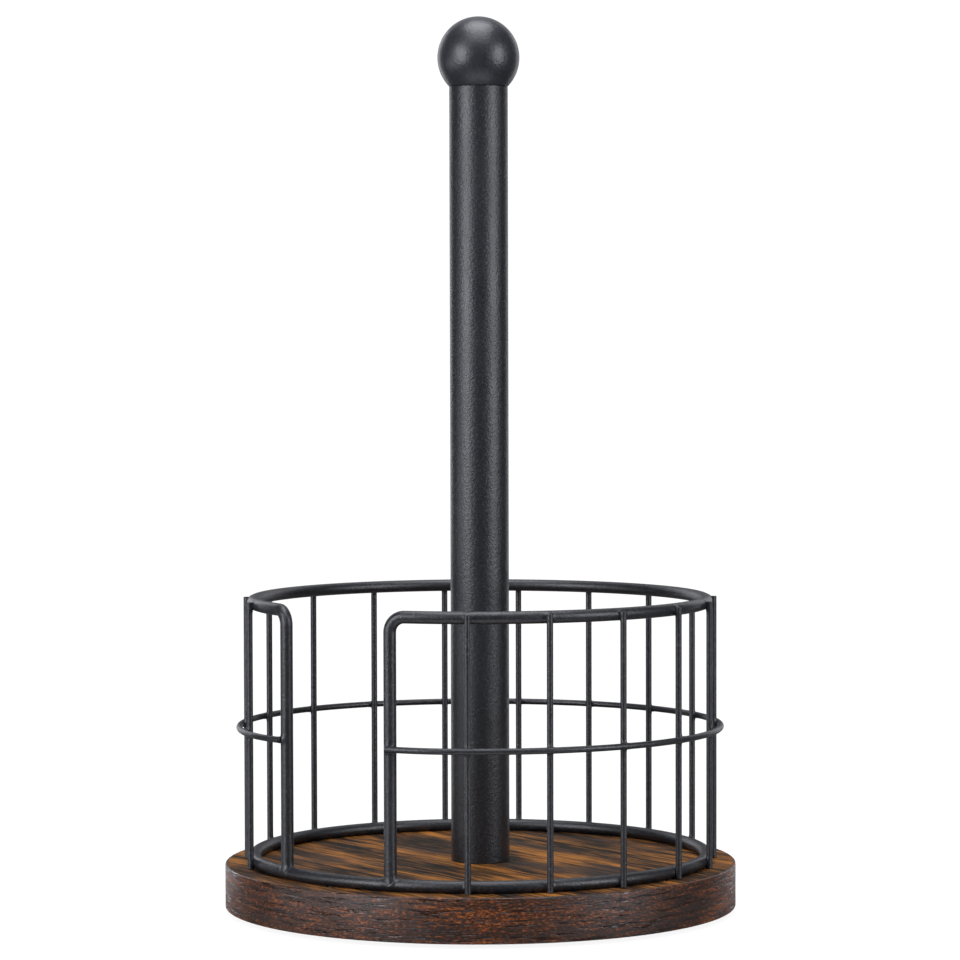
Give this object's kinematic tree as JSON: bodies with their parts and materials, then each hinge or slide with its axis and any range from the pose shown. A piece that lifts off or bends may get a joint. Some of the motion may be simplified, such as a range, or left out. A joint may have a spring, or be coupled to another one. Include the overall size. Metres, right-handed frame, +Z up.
{
  "type": "paper towel holder",
  "caption": "Countertop paper towel holder: round wood-grain board, central black post with ball finial, and open-fronted round wire cage around the roll.",
  "frame": {"origin": "under the centre of the board, level with the surface that the pads stand on", "axes": "+Z up along the pole, -Y to the front, with the open front of the cage to the left of it, between -X and -Y"},
  "size_m": [0.175, 0.175, 0.3053],
  "materials": {
    "printed_wood": "satin rustic brown wood-grain foil",
    "board_core": "raw fibreboard",
    "black_coat": "satin black powder coat",
    "zinc_steel": "bright zinc plate",
    "pad_rubber": "matte foam rubber"
  },
  "bodies": {
    "holder": {"board_core": "board_core", "top_sheet": "printed_wood", "backing_sheet": "printed_wood", "edge_band": "printed_wood", "pad_1": "pad_rubber", "pad_2": "pad_rubber", "pad_3": "pad_rubber", "pad_4": "pad_rubber", "pole_tube": "black_coat", "pole_lower_plug": "zinc_steel", "pole_bolt": "zinc_steel", "pole_washer": "zinc_steel", "pole_upper_plug": "zinc_steel", "cage_bottom_ring": "black_coat", "cage_top_hoop": "black_coat", "cage_middle_hoop": "black_coat", "upright_wire_01": "black_coat", "upright_wire_02": "black_coat", "upright_wire_03": "black_coat", "upright_wire_04": "black_coat", "upright_wire_05": "black_coat", "upright_wire_06": "black_coat", "upright_wire_07": "black_coat", "upright_wire_08": "black_coat", "upright_wire_09": "black_coat", "upright_wire_10": "black_coat", "upright_wire_11": "black_coat", "upright_wire_12": "black_coat", "upright_wire_13": "black_coat", "upright_wire_14": "black_coat", "upright_wire_15": "black_coat", "upright_wire_16": "black_coat", "cage_studs": "zinc_steel", "cage_washers": "zinc_steel", "cage_nuts": "zinc_steel"},
    "finial_lift": {"finial_stud": "zinc_steel"},
    "finial": {"finial_ball": "black_coat"}
  },
  "joints": [
    {"name": "finial_rise", "type": "slide", "parent": "holder", "child": "finial_lift", "axis": [0, 0, 1], "range_m": [0, 0.01]},
    {"name": "finial_turn", "type": "hinge", "parent": "finial_lift", "child": "finial", "pos_m": [0, 0, 0.2913], "axis": [0, 0, 1], "range_deg": [0, 2880]}
  ],
  "couplings": [
    {"joint": "finial_turn", "follows": "finial_rise", "rad_per_m": 5026.5}
  ]
}
